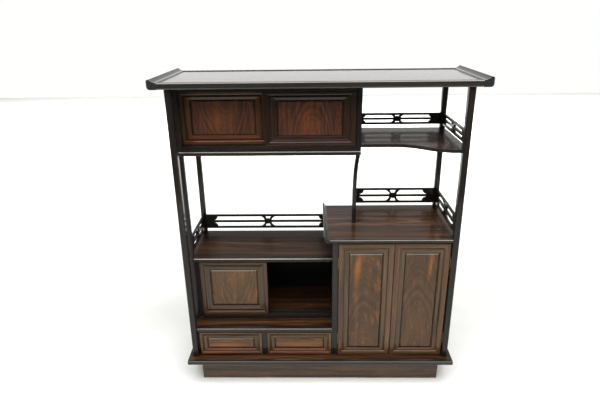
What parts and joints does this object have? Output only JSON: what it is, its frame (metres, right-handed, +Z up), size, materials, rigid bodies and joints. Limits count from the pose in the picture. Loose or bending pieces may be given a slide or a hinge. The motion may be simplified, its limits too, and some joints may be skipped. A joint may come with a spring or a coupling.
{
  "type": "display cabinet",
  "caption": "Dark wood display cabinet with staggered open shelves, sliding doors, hinged doors and drawers under a top board with raised ends.",
  "frame": {"origin": "on the floor under the middle of the bounding box", "axes": "+X to the right as seen from the front, +Y to the back, +Z up"},
  "size_m": [1.198, 0.424, 1.287],
  "materials": {
    "black_wood": "gloss lacquer over near-black wood",
    "brown_frame": "gloss lacquer over dark brown wood",
    "rosewood": "gloss lacquer over figured rosewood",
    "plain_wood": "satin stained wood",
    "bronze": "darkened metal"
  },
  "bodies": {
    "carcass": {"plinth_boards": "black_wood", "base_board": "black_wood", "top_board": "black_wood", "top_end_left": "black_wood", "top_end_right": "black_wood", "front_post_left": "black_wood", "front_post_right": "black_wood", "back_post_left": "black_wood", "back_post_right": "black_wood", "inner_pole": "black_wood", "curved_pole": "black_wood", "short_post": "black_wood", "case_bottom": "black_wood", "case_side_right": "black_wood", "case_stile_left": "black_wood", "case_panel_left": "black_wood", "case_back": "plain_wood", "case_sill": "black_wood", "case_header": "black_wood", "left_shelf": "black_wood", "bay_side_left": "black_wood", "bay_sill": "black_wood", "left_back": "plain_wood", "middle_board": "black_wood", "drawer_side_left": "black_wood", "drawer_divider": "black_wood", "drawer_runners": "plain_wood", "cabinet_top": "black_wood", "cabinet_side_left": "black_wood", "cabinet_side_right": "black_wood", "cabinet_back": "plain_wood", "inner_shelf": "plain_wood", "shelf_pegs": "bronze", "door_stop": "plain_wood", "hinges_fixed": "bronze", "upper_right_shelf": "black_wood", "back_galleries": "black_wood", "side_galleries": "black_wood"},
    "case_door_left": {"case_door_left_frame": "brown_frame", "case_door_left_panel": "rosewood"},
    "case_door_right": {"case_door_right_frame": "brown_frame", "case_door_right_panel": "rosewood"},
    "bay_door_front": {"bay_door_front_frame": "brown_frame", "bay_door_front_panel": "rosewood"},
    "bay_door_rear": {"bay_door_rear_frame": "brown_frame", "bay_door_rear_panel": "rosewood"},
    "drawer_left": {"drawer_left_front": "brown_frame", "drawer_left_panel": "rosewood", "drawer_left_box": "plain_wood", "drawer_left_bottom": "plain_wood"},
    "drawer_right": {"drawer_right_front": "brown_frame", "drawer_right_panel": "rosewood", "drawer_right_box": "plain_wood", "drawer_right_bottom": "plain_wood"},
    "cabinet_door_left": {"cabinet_door_left_frame": "brown_frame", "cabinet_door_left_panel": "rosewood", "hinge_leaves_left": "bronze"},
    "cabinet_door_right": {"cabinet_door_right_frame": "brown_frame", "cabinet_door_right_panel": "rosewood", "hinge_leaves_right": "bronze"}
  },
  "joints": [
    {"name": "case_door_left_slide", "type": "slide", "parent": "carcass", "child": "case_door_left", "axis": [1, 0, 0], "range_m": [0, 0.33]},
    {"name": "case_door_right_slide", "type": "slide", "parent": "carcass", "child": "case_door_right", "axis": [-1, 0, 0], "range_m": [0, 0.315]},
    {"name": "bay_door_front_slide", "type": "slide", "parent": "carcass", "child": "bay_door_front", "axis": [1, 0, 0], "range_m": [0, 0.271]},
    {"name": "bay_door_rear_slide", "type": "slide", "parent": "carcass", "child": "bay_door_rear", "axis": [1, 0, 0], "range_m": [0, 0.271]},
    {"name": "drawer_left_slide", "type": "slide", "parent": "carcass", "child": "drawer_left", "axis": [0, -1, 0], "range_m": [0, 0.22]},
    {"name": "drawer_right_slide", "type": "slide", "parent": "carcass", "child": "drawer_right", "axis": [0, -1, 0], "range_m": [0, 0.22]},
    {"name": "cabinet_door_left_hinge", "type": "hinge", "parent": "carcass", "child": "cabinet_door_left", "pos_m": [0.0757, -0.16645, 0.388], "axis": [0, 0, -1], "range_deg": [0, 90]},
    {"name": "cabinet_door_right_hinge", "type": "hinge", "parent": "carcass", "child": "cabinet_door_right", "pos_m": [0.5183, -0.16645, 0.388], "axis": [0, 0, 1], "range_deg": [0, 90]}
  ]
}
